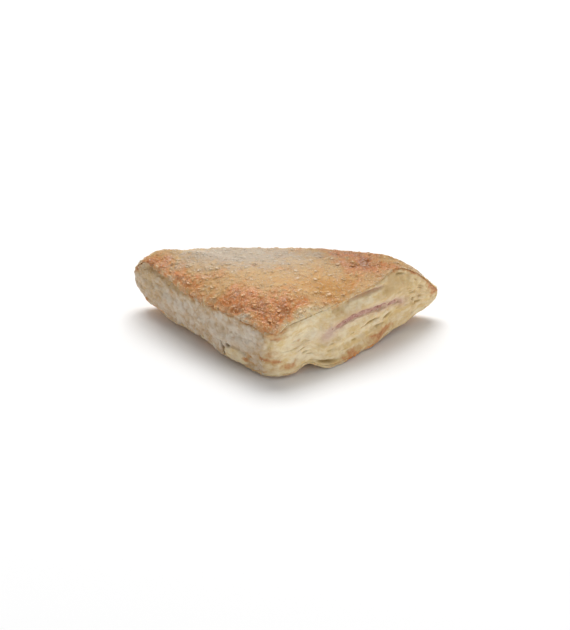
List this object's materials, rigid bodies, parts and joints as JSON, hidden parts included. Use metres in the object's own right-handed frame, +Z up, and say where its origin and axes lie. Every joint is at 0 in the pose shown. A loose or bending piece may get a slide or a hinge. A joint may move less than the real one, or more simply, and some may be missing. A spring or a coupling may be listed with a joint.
{
  "type": "turnover pastry",
  "caption": "Triangular puff-pastry turnover with cut layered sides, a line of jam showing at one side and coarse sugar on its browned crust.",
  "frame": {"origin": "under the middle of the pastry's box, on the surface it stands on", "axes": "+X along the fold, -Y towards the right-angled front corner between the two cut sides, +Z up"},
  "size_m": [0.16, 0.0818, 0.04],
  "materials": {
    "baked_pastry": "baked puff pastry, golden to brown crust, pale dull cut layers, white sugar",
    "jam": "sticky baked jam, moist and partly clear"
  },
  "bodies": {
    "root": {"pastry": "baked_pastry", "jam_filling": "jam"}
  },
  "joints": []
}
